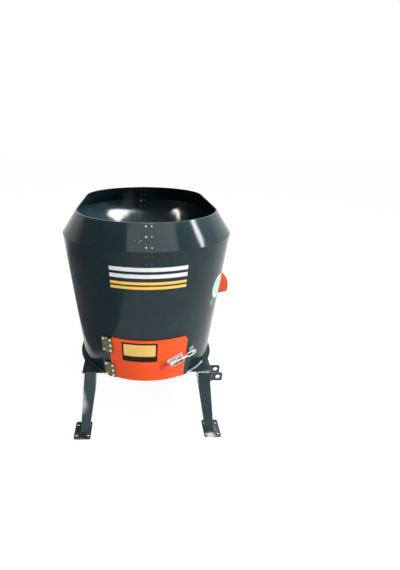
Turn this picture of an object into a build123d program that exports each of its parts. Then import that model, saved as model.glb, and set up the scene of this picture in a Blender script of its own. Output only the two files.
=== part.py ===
"""Tractor-mounted vertical feed mixer standing on four legs.

Sizes are millimetres. While it is being built, Z is up from the floor, Y runs along the oval tub
from its discharge door (-Y) to its long rear end (+Y), and +X is the side that the tractor's
three-point hitch takes hold of. The front half circle of the tub is centred on X = 0, Y = 0.
At the end every piece is moved so that the origin is under the middle of the whole machine.
"""
from build123d import *
import math
import os

# Tub, measured on its outer face
tub_bottom_z = 396.0
belt_z = 1213.0
rim_z = 1338.0
bottom_radius = 416.0
belt_radius = 500.0
rim_radius = 415.0
bottom_straight = 140.0
belt_straight = 620.0
rim_straight = 520.0
wall = 6.0
seat_gap = 0.3

# Bolted cover straps over the tub's front and rear seams
strap_width = 63.0
strap_thickness = 5.0
strap_drop = 78.0

# Floor plate with its four ears
floor_thickness = 8.0
floor_margin = 25.0
ear_half_width = 402.0
ear_front_y = -325.0
ear_neck_y = -162.0
shaft_hole_radius = 60.0

# Legs and feet
leg_wall = 6.0
leg_top_inner_x = 317.0
leg_top_outer_x = 388.0
leg_knee_inner_x = 321.0
leg_knee_z = 290.0
leg_foot_inner_x = 368.0
leg_foot_outer_x = 422.0
leg_foot_y = -432.0
leg_head_depth = 114.0
leg_head_z = 326.0
leg_neck_depth = 50.0
leg_neck_z = 285.0
leg_foot_depth = 35.0
foot_length_x = 105.0
foot_length_y = 148.0
foot_thickness = 10.0
foot_x = 410.0
foot_y = -402.0
foot_corner = 12.0
foot_hole_radius = 9.0
foot_hole_spacing_x = 74.0
foot_hole_spacing_y = 94.0

# Rails under the floor plate
rail_width = 50.0
rail_height = 60.0
rail_wall = 4.0
rail_near_y = -205.0

# Lower hitch
hitch_plate_x = 395.2
hitch_plate_thickness = 8.0
hitch_plate_low_z = 312.0
hitch_pin_x = 445.0
hitch_pin_z = 344.0
hitch_pin_span = 683.0
hitch_hole_radius = 14.35
hitch_ear_gap = 74.0
hitch_ear_thickness = 8.0
hitch_ear_half_height = 28.5
hitch_ear_tip = 27.0
hitch_ear_corner = 8.0
hitch_plate_margin = 4.5

# Top link bracket on its reinforcing plate
mast_height = 460.0
mast_plate_width = 120.0
mast_plate_thickness = 8.0
mast_plate_low_z = 396.0
mast_plate_over = 56.0
top_ear_gap = 52.0
top_ear_thickness = 10.0
top_hole_radius = 12.95
top_hole_reach = 44.0
top_ear_radius = 28.0
top_ear_root = 42.0

# Gearbox and power take-off
gearbox_flange_radius = 130.0
gearbox_flange_thickness = 12.0
gearbox_radius = 95.0
gearbox_low_z = 150.0
gearbox_sump_radius = 70.0
gearbox_sump_height = 22.0
pto_z = 230.0
pto_boss_radius = 52.0
pto_boss_end_x = 260.0
pto_flange_radius = 70.0
pto_flange_thickness = 12.0
pto_journal_radius = 20.0
pto_journal_depth = 60.0
pto_stub_radius = 17.45
pto_stub_length = 88.0
pto_stub_chamfer = 2.2
pto_guard_wall = 4.0
pto_guard_length = 130.0
shaft_radius = 35.0
shaft_depth = 50.0
running_gap = 0.05

# Discharge door
door_left_az = -30.0
door_right_az = 31.0
door_high_z = 685.0
door_thickness = 5.0
door_gap = 1.0
door_lap = 22.0
door_corner = 22.0

# Door hinges
hinge_az = -31.6
hinge_length = 100.0
hinge_upper_z = 628.0
hinge_lower_z = 447.0
hinge_leaf_width = 36.0
hinge_leaf_thickness = 4.0
knuckle_radius = 6.0
knuckle_gap = 0.5
hinge_pin_radius = 3.5

# Toggle latch
latch_az = 21.5
latch_z = 530.0
latch_tilt = 20.4
latch_base_length = 98.0
latch_base_width = 44.0
latch_base_thickness = 4.0
latch_cheek_height = 20.0
latch_cheek_thickness = 3.0
latch_rod_radius = 3.0
latch_rod_height = 15.0
latch_rod_reach = 132.0
latch_rod_start = 12.0
latch_stem_radius = 4.5
latch_stem_end = 62.0
latch_nut_radius = 8.0
latch_nut_length = 8.0
latch_loop_half_width = 13.0
latch_loop_end_half_width = 9.0
latch_loop_shoulder = 22.0
latch_handle_length = 96.0
latch_handle_width = 24.0
latch_handle_thickness = 8.0
latch_handle_height = 16.0
latch_handle_shoulder = 30.0
latch_handle_round = 2.0
catch_width = 10.0
catch_length = 26.0
catch_shoulder = 1.5
catch_foot = 32.0
catch_foot_margin = 4.0
catch_seat_degrees = 30.0

# Counter knife that swings in through a slot in the wall
knife_y = -20.0
knife_thickness = 10.0
knife_low_z = 803.0
knife_high_z = 935.0
knife_reach = 74.2
knife_bulge = 0.14
knife_wall_gap = 4.0
knife_pivot_z = 816.0
knife_pivot_out = 15.0
knife_pin_radius = 8.0
knife_pin_head_radius = 12.0
knife_pin_head = 5.0
knife_slot_gap = 3.0
knife_bracket_thickness = 8.0
knife_bracket_height = 46.0
knife_bracket_rise = 1.0
knife_bracket_length = 34.0
knife_side_gap = 0.5

# Auger
core_radius = 90.0
core_wall = 8.0
core_high_z = 1070.0
auger_base_radius = 140.0
auger_base_thickness = 10.0
auger_floor_gap = 8.0
flight_start_z = 420.0
flight_pitch = 360.0
flight_turns = 1.75
flight_thickness = 10.0
flight_low_radius = 385.0
flight_high_radius = 170.0
flight_steps = 28
flight_core_gap = 0.2
flight_sink = 9.0
knife_count = 4
auger_knife_length = 46.0
auger_knife_root = 40.0
auger_knife_width = 76.0
auger_knife_thickness = 6.0
auger_knife_sink = 2.5
auger_knife_back_reach = 37.0
auger_knife_back_width = 13.0
auger_knife_first_share = 0.6

# Places worked out from the sizes above
auger_y = bottom_straight / 2
floor_low_z = tub_bottom_z - floor_thickness
lean = math.atan((belt_radius - bottom_radius) / (belt_z - tub_bottom_z))
door_low_z = tub_bottom_z + seat_gap
door_outer = door_gap + door_thickness
leaf_low = door_outer + seat_gap
pin_height = leaf_low + knuckle_radius


def between(low, high, share):
    return low + (high - low) * share


def tub_share(z):
    return (z - tub_bottom_z) / (belt_z - tub_bottom_z)


def tub_radius(z):
    return between(bottom_radius, belt_radius, tub_share(z))


def tub_straight(z):
    return between(bottom_straight, belt_straight, tub_share(z))


def oval(radius, straight, z):
    """Half circle about Y = 0, half circle about Y = straight, and the two sides between them."""
    front = ThreePointArc((radius, 0, z), (0, -radius, z), (-radius, 0, z))
    left = Line((-radius, 0, z), (-radius, straight, z))
    rear = ThreePointArc((-radius, straight, z), (0, straight + radius, z), (radius, straight, z))
    right = Line((radius, straight, z), (radius, 0, z))
    return Wire([front, left, rear, right])


def tub_form(offset=0.0, low=tub_bottom_z, high=belt_z):
    """The flaring tub as a solid, grown sideways by an offset, between two heights."""
    lower = oval(tub_radius(low) + offset, tub_straight(low), low)
    upper = oval(tub_radius(high) + offset, tub_straight(high), high)
    return Solid.make_loft([lower, upper], ruled=True)


def collar_form(offset=0.0):
    """The inward leaning collar on top of the tub, grown sideways by an offset."""
    lower = oval(belt_radius + offset, belt_straight, belt_z)
    upper = oval(rim_radius + offset, rim_straight, rim_z)
    return Solid.make_loft([lower, upper], ruled=True)


def prism(points, low, high):
    return Pos(0, 0, low) * extrude(Polygon(*points, align=None), amount=high - low)


def block(low, high):
    """A box from its lowest corner to its highest."""
    size = [b - a for a, b in zip(low, high)]
    middle = [(a + b) / 2 for a, b in zip(low, high)]
    return Pos(*middle) * Box(*size)


def side_plate(outline, y_middle, thickness):
    """A flat plate whose outline is drawn in X and Z, centred on a plane of constant Y."""
    face = Plane.XZ * make_face(outline)
    return Pos(0, y_middle - thickness / 2, 0) * extrude(face, amount=-thickness)


def outward(az):
    angle = math.radians(az)
    return Vector(math.sin(angle), -math.cos(angle), 0)


def wedge(start_az, end_az, low, high):
    """Everything in front of the front axis between two azimuths, measured from -Y towards +X."""
    reach = 2 * belt_radius
    start = outward(start_az) * reach
    end = outward(end_az) * reach
    return prism([(0, 0), (start.X, start.Y), (end.X, end.Y)], low, high)


def wall_plane(az, z, offset=0.0, tilt=0.0):
    """A plane on the front wall: x to the right, turned up by the tilt, and z straight out of it."""
    flat = outward(az)
    right = Vector(-flat.Y, flat.X, 0)
    normal = flat * math.cos(lean) - Vector(0, 0, math.sin(lean))
    up = normal.cross(right)
    along = right * math.cos(math.radians(tilt)) + up * math.sin(math.radians(tilt))
    origin = flat * (tub_radius(z) + offset) + Vector(0, 0, z)
    return Plane(origin=origin, x_dir=along, z_dir=normal)


def mirror_rear(shape):
    """The same piece on the rear side of the auger's middle."""
    return shape.mirror(Plane.XZ.offset(-auger_y))


def knife_slot():
    half = knife_thickness / 2 + knife_slot_gap
    low = (core_radius, knife_y - half, knife_low_z - knife_slot_gap)
    return block(low, (2 * belt_radius, knife_y + half, knife_high_z + 2 * knife_slot_gap))


def door_cut(low, high):
    """The discharge opening, narrower than the door panel by its lap, between two heights."""
    lap = math.degrees(door_lap / bottom_radius)
    return wedge(door_left_az + lap, door_right_az - lap, low, high)


def make_tub_shell():
    opening = door_cut(tub_bottom_z - floor_thickness, door_high_z - door_lap)
    return tub_form() - tub_form(-wall) - opening - knife_slot()


def make_collar():
    return collar_form() - collar_form(-wall)


def make_strap(front):
    """Flat bar bent over the belt: down the collar and onto the top of the tub."""
    outer = tub_form(seat_gap + strap_thickness) + collar_form(seat_gap + strap_thickness)
    inner = tub_form(seat_gap) + collar_form(seat_gap)
    rear_y = belt_straight + 2 * belt_radius
    y_low, y_high = (-2 * belt_radius, -rim_radius / 2) if front else (rim_straight, rear_y)
    half = strap_width / 2
    return (outer - inner) & block((-half, y_low, belt_z - strap_drop), (half, y_high, rim_z))


def ear_rectangle():
    low = (-ear_half_width, ear_front_y, floor_low_z)
    return block(low, (ear_half_width, ear_neck_y, tub_bottom_z))


def floor_disc(radius):
    rim = oval(radius, bottom_straight, floor_low_z)
    return extrude(make_face(rim), amount=floor_thickness, dir=(0, 0, 1))


def make_floor_plate():
    """Stands out past the tub at its sides, and is flush with it in front, behind and at the door."""
    sides = floor_disc(bottom_radius + floor_margin)
    rear_y = 2 * auger_y - ear_front_y
    sides &= block((-2 * belt_radius, ear_front_y, floor_low_z), (2 * belt_radius, rear_y, tub_bottom_z))
    plate = floor_disc(bottom_radius) + sides + ear_rectangle() + mirror_rear(ear_rectangle())
    sill = door_cut(floor_low_z, tub_bottom_z) - Cylinder(bottom_radius - wall, 4 * tub_bottom_z)
    return plate - sill - Pos(0, auger_y, floor_low_z) * Cylinder(shaft_hole_radius, 4 * floor_thickness)


def leg_front_y(z):
    return between(leg_foot_y, ear_front_y, (z - foot_thickness) / (floor_low_z - foot_thickness))


def leg_form(inset):
    """Leg as a solid, narrowing below its knee; an inset narrows it and moves its front face back."""
    rear_shift = leg_head_depth if inset else 0
    front = [
        (leg_top_inner_x + inset, floor_low_z),
        (leg_top_outer_x - inset, floor_low_z),
        (leg_foot_outer_x - inset, foot_thickness),
        (leg_foot_inner_x + inset, foot_thickness),
        (leg_knee_inner_x + inset, leg_knee_z),
    ]
    side = [
        (leg_front_y(floor_low_z) + inset, floor_low_z),
        (leg_front_y(foot_thickness) + inset, foot_thickness),
        (leg_front_y(foot_thickness) + leg_foot_depth + rear_shift, foot_thickness),
        (leg_front_y(leg_neck_z) + leg_neck_depth + rear_shift, leg_neck_z),
        (leg_front_y(leg_head_z) + leg_head_depth + rear_shift, leg_head_z),
        (leg_front_y(floor_low_z) + leg_head_depth + rear_shift, floor_low_z),
    ]
    front_prism = extrude(Plane.XZ * Polygon(*front, align=None), amount=2 * belt_radius, both=True)
    side_prism = extrude(Plane.YZ * Polygon(*side, align=None), amount=2 * belt_radius, both=True)
    return front_prism & side_prism


def make_leg():
    """Folded channel leg, open towards the machine's middle."""
    return leg_form(0) - leg_form(leg_wall)


def make_foot():
    plate = extrude(RectangleRounded(foot_length_x, foot_length_y, foot_corner), amount=foot_thickness)
    for x in (-foot_hole_spacing_x / 2, foot_hole_spacing_x / 2):
        for y in (-foot_hole_spacing_y / 2, foot_hole_spacing_y / 2):
            plate -= Pos(x, y, 0) * Cylinder(foot_hole_radius, 4 * foot_thickness)
    return Pos(foot_x, foot_y, 0) * plate


def make_rail():
    low = (-hitch_plate_x, rail_near_y, floor_low_z - rail_height)
    high = (hitch_plate_x, rail_near_y + rail_width, floor_low_z)
    inner_low = (low[0] - rail_wall, low[1] + rail_wall, low[2] + rail_wall)
    inner_high = (high[0] + rail_wall, high[1] - rail_wall, high[2] - rail_wall)
    return block(low, high) - block(inner_low, inner_high)


def make_hitch_plate():
    half = hitch_pin_span / 2 + hitch_ear_gap / 2 + hitch_ear_thickness + hitch_plate_margin
    low = (hitch_plate_x, auger_y - half, hitch_plate_low_z)
    return block(low, (hitch_plate_x + hitch_plate_thickness, auger_y + half, floor_low_z))


def hitch_ear_places():
    """Y of the middle of each of the four lower hitch ears, front to rear."""
    places = []
    for side in (-1, 1):
        pin_y = auger_y + side * hitch_pin_span / 2
        half = (hitch_ear_gap + hitch_ear_thickness) / 2
        places += [pin_y - half, pin_y + half]
    return places


def make_hitch_ear(y_middle):
    root_x = hitch_plate_x + hitch_plate_thickness
    tip_x = hitch_pin_x + hitch_ear_tip
    low = (root_x, y_middle - hitch_ear_thickness / 2, hitch_pin_z - hitch_ear_half_height)
    high = (tip_x, y_middle + hitch_ear_thickness / 2, hitch_pin_z + hitch_ear_half_height)
    plate = block(low, high)
    tip_edges = plate.edges().filter_by(Axis.Y).sort_by(Axis.X)[-2:]
    plate = fillet(tip_edges, hitch_ear_corner)
    hole = Rot(90, 0, 0) * Cylinder(hitch_hole_radius, 4 * hitch_ear_thickness)
    return plate - Pos(hitch_pin_x, y_middle, hitch_pin_z) * hole


def top_pin():
    z = hitch_pin_z + mast_height
    return tub_radius(z) + mast_plate_thickness + top_hole_reach, z


def make_mast_plate():
    high_z = top_pin()[1] + mast_plate_over
    outer = tub_form(seat_gap + mast_plate_thickness, mast_plate_low_z, high_z)
    inner = tub_form(seat_gap, mast_plate_low_z, high_z)
    half = mast_plate_width / 2
    strip = block((0, auger_y - half, 0), (2 * belt_radius, auger_y + half, rim_z))
    return (outer - inner) & strip


def make_top_ear(side):
    pin_x, pin_z = top_pin()
    root_x = tub_radius(pin_z) - wall
    eye = Pos(pin_x, pin_z) * Circle(top_ear_radius)
    root = [(root_x, pin_z - top_ear_root), (pin_x, pin_z - top_ear_radius),
            (pin_x, pin_z + top_ear_radius), (root_x, pin_z + top_ear_root)]
    outline = eye + Polygon(*root, align=None) - Pos(pin_x, pin_z) * Circle(top_hole_radius)
    y_middle = auger_y + side * (top_ear_gap + top_ear_thickness) / 2
    plate = Pos(0, y_middle, 0) * extrude(Plane.XZ * outline, amount=top_ear_thickness / 2, both=True)
    low_z = pin_z - 2 * top_ear_root
    return plate - tub_form(seat_gap + mast_plate_thickness, low_z, pin_z + 2 * top_ear_root)


def make_gearbox():
    flange_low = floor_low_z - gearbox_flange_thickness
    profile = [(0, gearbox_low_z), (gearbox_sump_radius, gearbox_low_z),
               (gearbox_radius, gearbox_low_z + gearbox_sump_height), (gearbox_radius, flange_low),
               (gearbox_flange_radius, flange_low), (gearbox_flange_radius, floor_low_z), (0, floor_low_z)]
    body = revolve(Plane.XZ * Polygon(*profile, align=None), Axis.Z)
    body = Pos(0, auger_y, 0) * body
    boss = Pos(pto_boss_end_x / 2, auger_y, pto_z) * Rot(0, 90, 0) * Cylinder(pto_boss_radius, pto_boss_end_x)
    flange_x = pto_boss_end_x - pto_flange_thickness / 2
    flange = Pos(flange_x, auger_y, pto_z) * Rot(0, 90, 0) * Cylinder(pto_flange_radius, pto_flange_thickness)
    bore = Cylinder(shaft_radius + running_gap, 2 * (shaft_depth + seat_gap))
    journal = Cylinder(pto_journal_radius + running_gap, 2 * (pto_journal_depth + seat_gap))
    body = body + boss + flange - Pos(0, auger_y, floor_low_z) * bore
    return body - Pos(pto_boss_end_x, auger_y, pto_z) * Rot(0, 90, 0) * journal


def make_pto_guard():
    inner = pto_flange_radius + seat_gap
    middle_x = pto_boss_end_x - pto_flange_thickness + pto_guard_length / 2
    tube = Cylinder(inner + pto_guard_wall, pto_guard_length) - Cylinder(inner, pto_guard_length)
    return Pos(middle_x, auger_y, pto_z) * Rot(0, 90, 0) * tube


def make_pto_shaft():
    journal_x = pto_boss_end_x - pto_journal_depth / 2
    journal = Pos(journal_x, auger_y, pto_z) * Rot(0, 90, 0) * Cylinder(pto_journal_radius, pto_journal_depth)
    stub_x = pto_boss_end_x + pto_stub_length / 2
    stub = Pos(stub_x, auger_y, pto_z) * Rot(0, 90, 0) * Cylinder(pto_stub_radius, pto_stub_length)
    stub = chamfer(stub.edges().sort_by(Axis.X)[-1], pto_stub_chamfer)
    return journal + stub


def corner_cut(az):
    side = door_corner * math.sqrt(2)
    return wall_plane(az, door_high_z) * Rot(0, 0, 45) * Box(side, side, 8 * door_corner)


def make_door_panel():
    outer = tub_form(door_outer, door_low_z, door_high_z)
    inner = tub_form(door_gap, door_low_z, door_high_z)
    panel = (outer - inner) & wedge(door_left_az, door_right_az, door_low_z, door_high_z)
    return panel - corner_cut(door_left_az) - corner_cut(door_right_az)


def hinge_cylinder(radius, low, high, z_out):
    return Pos(0, (low + high) / 2, z_out) * Rot(90, 0, 0) * Cylinder(radius, high - low)


def make_hinge(z, fixed):
    """One leaf of a hinge; the fixed leaf sits on a packer as thick as the door and holds the pin."""
    place = wall_plane(hinge_az, z)
    half = hinge_length / 2
    third = hinge_length / 6
    leaf_high = leaf_low + hinge_leaf_thickness
    ends = [(-half, -third), (third, half)]
    if fixed:
        leaf = block((-hinge_leaf_width, -half, leaf_low), (0, half, leaf_high))
        clear = 2 * knuckle_radius
        packer = block((-hinge_leaf_width, -half, -leaf_low), (-clear, half, leaf_low))
        leaf = leaf + packer
        leaf -= hinge_cylinder(knuckle_radius + knuckle_gap, -third, third, pin_height)
        for low, high in ends:
            leaf += hinge_cylinder(knuckle_radius, low, high, pin_height)
        leaf += hinge_cylinder(hinge_pin_radius, -half, half, pin_height)
        return place * leaf - tub_form(seat_gap, tub_bottom_z, door_high_z)
    leaf = block((0, -half, 0), (hinge_leaf_width, half, leaf_high))
    for low, high in ends:
        leaf -= hinge_cylinder(knuckle_radius + knuckle_gap, low, high, pin_height)
    trim = third - knuckle_gap
    leaf += hinge_cylinder(knuckle_radius, -trim, trim, pin_height)
    leaf -= hinge_cylinder(hinge_pin_radius + running_gap, -half, half, pin_height)
    leaf = place * leaf - tub_form(leaf_low, tub_bottom_z, door_high_z)
    return leaf


def latch_plane():
    return wall_plane(latch_az, latch_z, door_outer, latch_tilt)


def make_latch_base():
    half = latch_base_width / 2
    start = -latch_base_length / 2
    end = latch_base_length / 2
    base = block((start, -half, -2 * latch_base_thickness), (end, half, latch_base_thickness))
    for y in (-half, half - latch_cheek_thickness):
        base += block((start / 2, y, 0), (end, y + latch_cheek_thickness, latch_cheek_height))
    return latch_plane() * base - tub_form(door_outer + seat_gap, tub_bottom_z, door_high_z)


def round_bar(start, end, radius):
    """A round bar with domed ends between two points of a plane parallel to the latch."""
    (x0, y0), (x1, y1) = start, end
    length = math.hypot(x1 - x0, y1 - y0)
    turn = math.degrees(math.atan2(y1 - y0, x1 - x0))
    bar = Pos((x0 + x1) / 2, (y0 + y1) / 2, 0) * Rot(0, 0, turn) * Rot(0, 90, 0) * Cylinder(radius, length)
    return bar + Pos(x0, y0, 0) * Sphere(radius) + Pos(x1, y1, 0) * Sphere(radius)


def make_latch_rod():
    """Pivot bar between the cheeks, stem with its nut, and the eye whose cross bar rests on the catch."""
    pivot_half = latch_base_width / 2 - latch_cheek_thickness - seat_gap - latch_rod_radius
    rod = round_bar((latch_rod_start, -pivot_half), (latch_rod_start, pivot_half), latch_rod_radius)
    stem = Rot(0, 90, 0) * Cylinder(latch_stem_radius, latch_stem_end - latch_rod_start)
    rod += Pos((latch_rod_start + latch_stem_end) / 2, 0, 0) * stem
    nut = Rot(0, 90, 0) * extrude(RegularPolygon(latch_nut_radius, 6), amount=latch_nut_length / 2, both=True)
    rod += Pos(latch_stem_end - latch_nut_length, 0, 0) * nut
    near = latch_stem_end + latch_loop_shoulder
    far = latch_rod_reach - latch_loop_shoulder
    for side in (-1, 1):
        wide = side * latch_loop_half_width
        corner = (latch_rod_reach, side * latch_loop_end_half_width)
        rod += round_bar((latch_stem_end, 0), (near, wide), latch_rod_radius)
        rod += round_bar((near, wide), (far, wide), latch_rod_radius)
        rod += round_bar((far, wide), corner, latch_rod_radius)
    half = latch_loop_end_half_width
    rod += round_bar((latch_rod_reach, -half), (latch_rod_reach, half), latch_rod_radius)
    return latch_plane() * Pos(0, 0, latch_rod_height) * rod


def make_latch_handle():
    low = latch_handle_height - latch_handle_thickness / 2
    half = latch_handle_width / 2
    root = latch_rod_start - latch_rod_radius - seat_gap
    near = root - latch_handle_shoulder
    far = root - latch_handle_length
    neck = half - latch_handle_round
    outline = [(root, -neck), (near, -half), (far, -half / 2), (far, half / 2), (near, half), (root, neck)]
    handle = Pos(0, 0, low) * extrude(Polygon(*outline, align=None), amount=latch_handle_thickness)
    return latch_plane() * handle


def make_latch_catch():
    """Saddle on the wall that the rod's cross bar rests in."""
    seat_z = latch_rod_height - latch_rod_radius - seat_gap
    shoulder_x = latch_rod_reach - latch_rod_radius * math.cos(math.radians(catch_seat_degrees)) - seat_gap
    half = catch_width / 2
    start = latch_rod_reach - catch_length + latch_rod_radius + seat_gap
    end = latch_rod_reach + latch_rod_radius + seat_gap
    depth = 2 * catch_foot
    stem = block((start, -half, -depth), (end, half, seat_z))
    stem += block((start, -half, 0), (shoulder_x, half, seat_z + catch_shoulder))
    stem = latch_plane() * stem - tub_form(seat_gap, tub_bottom_z, door_high_z)
    foot_low = (start - catch_foot_margin, -catch_foot / 2, -depth)
    foot = latch_plane() * block(foot_low, (end + catch_foot_margin, catch_foot / 2, 0))
    skin = tub_form(seat_gap + latch_base_thickness, tub_bottom_z, door_high_z)
    foot = foot & (skin - tub_form(seat_gap, tub_bottom_z, door_high_z))
    return stem + foot


def knife_pivot():
    return tub_radius(knife_pivot_z) + knife_pivot_out, knife_pivot_z


def make_counter_knife():
    inner_low = tub_radius(knife_low_z) + knife_wall_gap
    inner_high = tub_radius(knife_high_z) + knife_wall_gap
    reach_x = tub_radius(knife_low_z) + knife_reach
    start = Vector(reach_x, knife_low_z)
    end = Vector(inner_high, knife_high_z)
    chord = end - start
    middle = (start + end) * 0.5 + Vector(chord.Y, -chord.X) * knife_bulge
    outline = Polyline((inner_high, knife_high_z), (inner_low, knife_low_z), (reach_x, knife_low_z))
    outline += ThreePointArc(start, middle, end)
    blade = side_plate(outline, knife_y, knife_thickness)
    x, z = knife_pivot()
    bore = Pos(x, knife_y, z) * Rot(90, 0, 0) * Cylinder(knife_pin_radius + running_gap, 4 * knife_thickness)
    return blade - bore


def make_knife_bracket():
    """Plate behind the blade with the pivot pin and its head in front of the blade."""
    x, z = knife_pivot()
    plate_y = knife_y + knife_thickness / 2 + knife_side_gap
    low_z = knife_low_z + knife_bracket_rise
    low = (x - 2 * knife_pivot_out, plate_y, low_z)
    high = (x + knife_bracket_length / 2, plate_y + knife_bracket_thickness, low_z + knife_bracket_height)
    head_y = knife_y - knife_thickness / 2 - knife_side_gap
    pin_length = plate_y - head_y
    pin = Pos(x, head_y + pin_length / 2, z) * Rot(90, 0, 0) * Cylinder(knife_pin_radius, pin_length)
    head = Pos(x, head_y - knife_pin_head / 2, z) * Rot(90, 0, 0)
    head = head * Cylinder(knife_pin_head_radius, knife_pin_head)
    plate = block(low, high) - tub_form(seat_gap)
    return plate + pin + head


def make_auger_core():
    base_z = tub_bottom_z + auger_floor_gap
    core_low = base_z + auger_base_thickness
    profile = [(0, floor_low_z - shaft_depth), (shaft_radius, floor_low_z - shaft_depth),
               (shaft_radius, base_z), (auger_base_radius, base_z), (auger_base_radius, core_low),
               (core_radius, core_low), (core_radius, core_high_z), (0, core_high_z)]
    core = revolve(Plane.XZ * Polygon(*profile, align=None), Axis.Z)
    hollow_height = core_high_z - core_low - 2 * core_wall
    hollow = Cylinder(core_radius - core_wall, hollow_height)
    core = core - Pos(0, 0, (core_high_z + core_low) / 2) * hollow
    return Pos(0, auger_y, 0) * core


def flight_at(share):
    """Angle, height and outer radius of the flight at a share of its length."""
    angle = 360 * flight_turns * share
    height = flight_start_z + flight_pitch * flight_turns * share
    return angle, height, between(flight_low_radius, flight_high_radius, share)


def make_auger_flight():
    """Conical screw flight: radial sections joined by straight lines, then cut clear of the core."""
    sections = []
    half = flight_thickness / 2
    inner = core_radius - flight_sink
    for step in range(flight_steps + 1):
        angle, height, outer = flight_at(step / flight_steps)
        turn = Vector(math.cos(math.radians(angle)), math.sin(math.radians(angle)), 0)
        corners = []
        for radius, z in ((inner, -half), (outer, -half), (outer, half), (inner, half)):
            corners.append(turn * radius + Vector(0, auger_y, height + z))
        sections.append(Wire.make_polygon(corners, close=True))
    flight = Solid.make_loft(sections, ruled=True)
    core_space = Cylinder(core_radius + flight_core_gap, 2 * core_high_z)
    return flight - Pos(0, auger_y, core_high_z / 2) * core_space


def make_auger_knife(number, flight):
    """Swept-back knife that sits on the flight and reaches past its edge."""
    share = (number + auger_knife_first_share) / (knife_count + auger_knife_first_share)
    angle, height, outer = flight_at(share)
    turn = Vector(math.cos(math.radians(angle)), math.sin(math.radians(angle)), 0)
    across = Vector(-turn.Y, turn.X, 0)
    rise = flight_pitch / (2 * math.pi * outer)
    along = (across + Vector(0, 0, rise)).normalized()
    place = Plane(origin=turn * outer + Vector(0, auger_y, height), x_dir=turn, z_dir=turn.cross(along))
    half = auger_knife_width / 2
    outline = [(-auger_knife_root, -half), (0, -half), (auger_knife_length, 0),
               (auger_knife_back_reach, auger_knife_back_width), (0, half), (-auger_knife_root, half)]
    blade = extrude(Polygon(*outline, align=None), amount=auger_knife_thickness + flight_thickness)
    return place * Pos(0, 0, -auger_knife_sink) * blade - flight


nodes = {}
nodes["tub_shell"] = make_tub_shell()
nodes["collar"] = make_collar()
nodes["front_strap"] = make_strap(True)
nodes["rear_strap"] = make_strap(False)
nodes["floor_plate"] = make_floor_plate()

leg = make_leg()
foot = make_foot()
for side_name, right in (("left", False), ("right", True)):
    for end_name, rear in (("front", False), ("rear", True)):
        for piece_name, piece in (("leg", leg), ("foot", foot)):
            placed = piece if right else piece.mirror(Plane.YZ)
            placed = mirror_rear(placed) if rear else placed
            nodes[f"{piece_name}_{end_name}_{side_name}"] = placed

rail = make_rail()
nodes["rail_front"] = rail
nodes["rail_rear"] = mirror_rear(rail)
nodes["hitch_plate"] = make_hitch_plate()
for number, place_y in enumerate(hitch_ear_places(), 1):
    nodes[f"hitch_ear_{number}"] = make_hitch_ear(place_y)
nodes["mast_plate"] = make_mast_plate()
nodes["top_link_ear_front"] = make_top_ear(-1)
nodes["top_link_ear_rear"] = make_top_ear(1)
nodes["gearbox"] = make_gearbox()
nodes["pto_guard"] = make_pto_guard()
nodes["pto_shaft"] = make_pto_shaft()
nodes["door_panel"] = make_door_panel()
for level, hinge_z in (("upper", hinge_upper_z), ("lower", hinge_lower_z)):
    nodes[f"hinge_{level}_wall"] = make_hinge(hinge_z, True)
    nodes[f"hinge_{level}_door"] = make_hinge(hinge_z, False)
nodes["latch_base"] = make_latch_base()
nodes["latch_rod"] = make_latch_rod()
nodes["latch_handle"] = make_latch_handle()
nodes["latch_catch"] = make_latch_catch()
nodes["counter_knife"] = make_counter_knife()
nodes["knife_bracket"] = make_knife_bracket()
nodes["auger_core"] = make_auger_core()
nodes["auger_flight"] = make_auger_flight()
for number in range(knife_count):
    nodes[f"auger_knife_{number + 1}"] = make_auger_knife(number, nodes["auger_flight"])

# The origin goes on the floor under the middle of the machine
whole = Compound(children=[Compound(shape.solids()) for shape in nodes.values()]).bounding_box()
middle_x = (whole.min.X + whole.max.X) / 2
middle_y = (whole.min.Y + whole.max.Y) / 2
to_origin = Pos(-middle_x, -middle_y, 0)

os.makedirs("parts", exist_ok=True)
for node_name, shape in nodes.items():
    solids = shape.solids()
    placed = to_origin * (solids[0] if len(solids) == 1 else Compound(solids))
    export_step(placed, f"parts/{node_name}.step")
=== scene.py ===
"""Looks of the feed mixer: paint, fasteners, welds, markings, studio and camera round the frame."""
import math
import random

import bmesh
import bpy
from mathutils import Matrix, Vector


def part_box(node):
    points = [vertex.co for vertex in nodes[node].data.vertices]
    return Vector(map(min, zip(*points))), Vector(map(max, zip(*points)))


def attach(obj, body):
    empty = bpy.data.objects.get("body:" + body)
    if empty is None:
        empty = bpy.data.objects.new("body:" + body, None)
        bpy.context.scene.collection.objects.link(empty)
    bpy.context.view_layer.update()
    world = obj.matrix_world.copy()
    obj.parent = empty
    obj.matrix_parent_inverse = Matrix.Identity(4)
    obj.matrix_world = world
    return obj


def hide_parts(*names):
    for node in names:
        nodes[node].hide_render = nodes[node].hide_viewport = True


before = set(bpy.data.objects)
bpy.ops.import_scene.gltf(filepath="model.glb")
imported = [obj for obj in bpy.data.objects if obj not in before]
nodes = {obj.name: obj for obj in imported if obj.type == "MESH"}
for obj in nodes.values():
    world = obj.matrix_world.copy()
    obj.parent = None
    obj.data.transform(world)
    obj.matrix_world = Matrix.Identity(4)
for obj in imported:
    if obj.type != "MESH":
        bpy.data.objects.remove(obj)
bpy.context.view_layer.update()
MM = 0.001

# A vertex this near to a height counts as lying at it
level_slack = 0.5 * MM

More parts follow.
